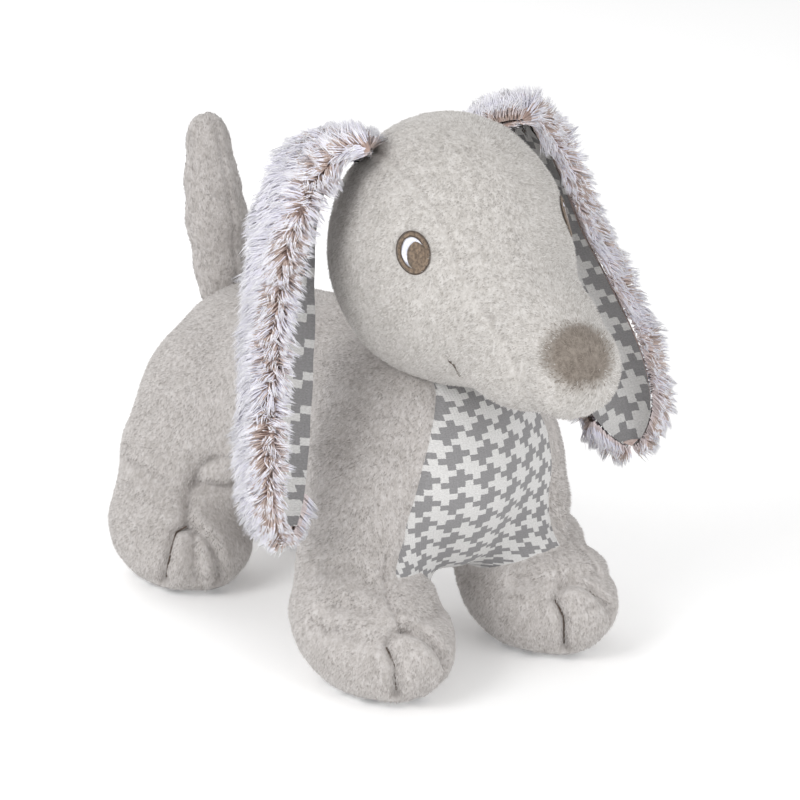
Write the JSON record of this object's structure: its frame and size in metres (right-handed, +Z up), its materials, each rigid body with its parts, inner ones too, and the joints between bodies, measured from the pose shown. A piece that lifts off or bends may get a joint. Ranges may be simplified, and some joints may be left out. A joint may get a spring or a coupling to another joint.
{
  "type": "plush dog",
  "caption": "Standing stuffed toy dog in short pile fabric with long pile hanging ears, printed chest panel and ear lining, upright tail",
  "frame": {"origin": "on the floor, below the middle of the toy's length and width", "axes": "+Z up, -Y the way the dog faces, +X the dog's left"},
  "size_m": [0.1996, 0.2885, 0.235],
  "materials": {
    "body_plush": "matte short pile",
    "head_plush": "matte short pile",
    "print_jersey": "woven check print on knitted jersey",
    "stuffing": "loose polyester fibre",
    "ear_fur": "long two-tone pile",
    "nose_plush": "matte short pile, dyed",
    "brown_thread": "satin embroidery thread",
    "white_thread": "satin embroidery thread"
  },
  "bodies": {
    "torso": {"body_side_left": "body_plush", "body_side_right": "body_plush", "chest_panel": "print_jersey", "belly_panel": "body_plush", "body_stuffing": "stuffing"},
    "neck": {"neck_stuffing": "stuffing"},
    "head": {"head_side_left": "head_plush", "head_side_right": "head_plush", "head_gusset": "head_plush", "head_stuffing": "stuffing", "nose_patch": "nose_plush", "mouth_stitches": "brown_thread", "eye_outline_left": "brown_thread", "eye_white_left": "white_thread", "eye_pupil_left": "brown_thread", "eye_outline_right": "brown_thread", "eye_white_right": "white_thread", "eye_pupil_right": "brown_thread"},
    "ear_left": {"ear_fur_left": "ear_fur", "ear_lining_left": "print_jersey"},
    "ear_right": {"ear_fur_right": "ear_fur", "ear_lining_right": "print_jersey"},
    "tail": {"tail_panel_left": "body_plush", "tail_panel_right": "body_plush", "tail_stuffing": "stuffing"},
    "front_leg_left": {"front_leg_left_outer": "body_plush", "front_leg_left_inner": "body_plush", "front_leg_left_sole": "print_jersey", "front_leg_left_stuffing": "stuffing", "front_leg_left_toe_stitches": "brown_thread"},
    "rear_leg_left": {"rear_leg_left_outer": "body_plush", "rear_leg_left_inner": "body_plush", "rear_leg_left_sole": "print_jersey", "rear_leg_left_stuffing": "stuffing", "rear_leg_left_toe_stitches": "brown_thread"},
    "front_leg_right": {"front_leg_right_outer": "body_plush", "front_leg_right_inner": "body_plush", "front_leg_right_sole": "print_jersey", "front_leg_right_stuffing": "stuffing", "front_leg_right_toe_stitches": "brown_thread"},
    "rear_leg_right": {"rear_leg_right_outer": "body_plush", "rear_leg_right_inner": "body_plush", "rear_leg_right_sole": "print_jersey", "rear_leg_right_stuffing": "stuffing", "rear_leg_right_toe_stitches": "brown_thread"}
  },
  "joints": [
    {"name": "head_turn", "type": "hinge", "parent": "torso", "child": "neck", "pos_m": [0, -0.0433, 0.18], "axis": [0, 0, 1], "range_deg": [-20, 20], "stiffness_Nm_per_rad": 1.2},
    {"name": "head_nod", "type": "hinge", "parent": "neck", "child": "head", "pos_m": [0, -0.0433, 0.18], "axis": [1, 0, 0], "range_deg": [-8, 6], "stiffness_Nm_per_rad": 1.5},
    {"name": "ear_left_lift", "type": "hinge", "parent": "head", "child": "ear_left", "pos_m": [0.0365, -0.0328, 0.222], "axis": [0, -1, 0], "range_deg": [0, 75]},
    {"name": "ear_right_lift", "type": "hinge", "parent": "head", "child": "ear_right", "pos_m": [-0.0365, -0.0328, 0.222], "axis": [0, 1, 0], "range_deg": [0, 75]},
    {"name": "tail_wag", "type": "hinge", "parent": "torso", "child": "tail", "pos_m": [0, 0.1262, 0.13], "axis": [0, 1, 0], "range_deg": [-20, 20], "stiffness_Nm_per_rad": 0.15},
    {"name": "front_leg_left_flex", "type": "hinge", "parent": "torso", "child": "front_leg_left", "pos_m": [0.035, -0.0328, 0.06], "axis": [1, 0, 0], "range_deg": [-12, 12], "stiffness_Nm_per_rad": 3},
    {"name": "front_leg_right_flex", "type": "hinge", "parent": "torso", "child": "front_leg_right", "pos_m": [-0.035, -0.0328, 0.06], "axis": [1, 0, 0], "range_deg": [-12, 12], "stiffness_Nm_per_rad": 3},
    {"name": "rear_leg_left_flex", "type": "hinge", "parent": "torso", "child": "rear_leg_left", "pos_m": [0.035, 0.1032, 0.056], "axis": [1, 0, 0], "range_deg": [-12, 12], "stiffness_Nm_per_rad": 3},
    {"name": "rear_leg_right_flex", "type": "hinge", "parent": "torso", "child": "rear_leg_right", "pos_m": [-0.035, 0.1032, 0.056], "axis": [1, 0, 0], "range_deg": [-12, 12], "stiffness_Nm_per_rad": 3}
  ]
}
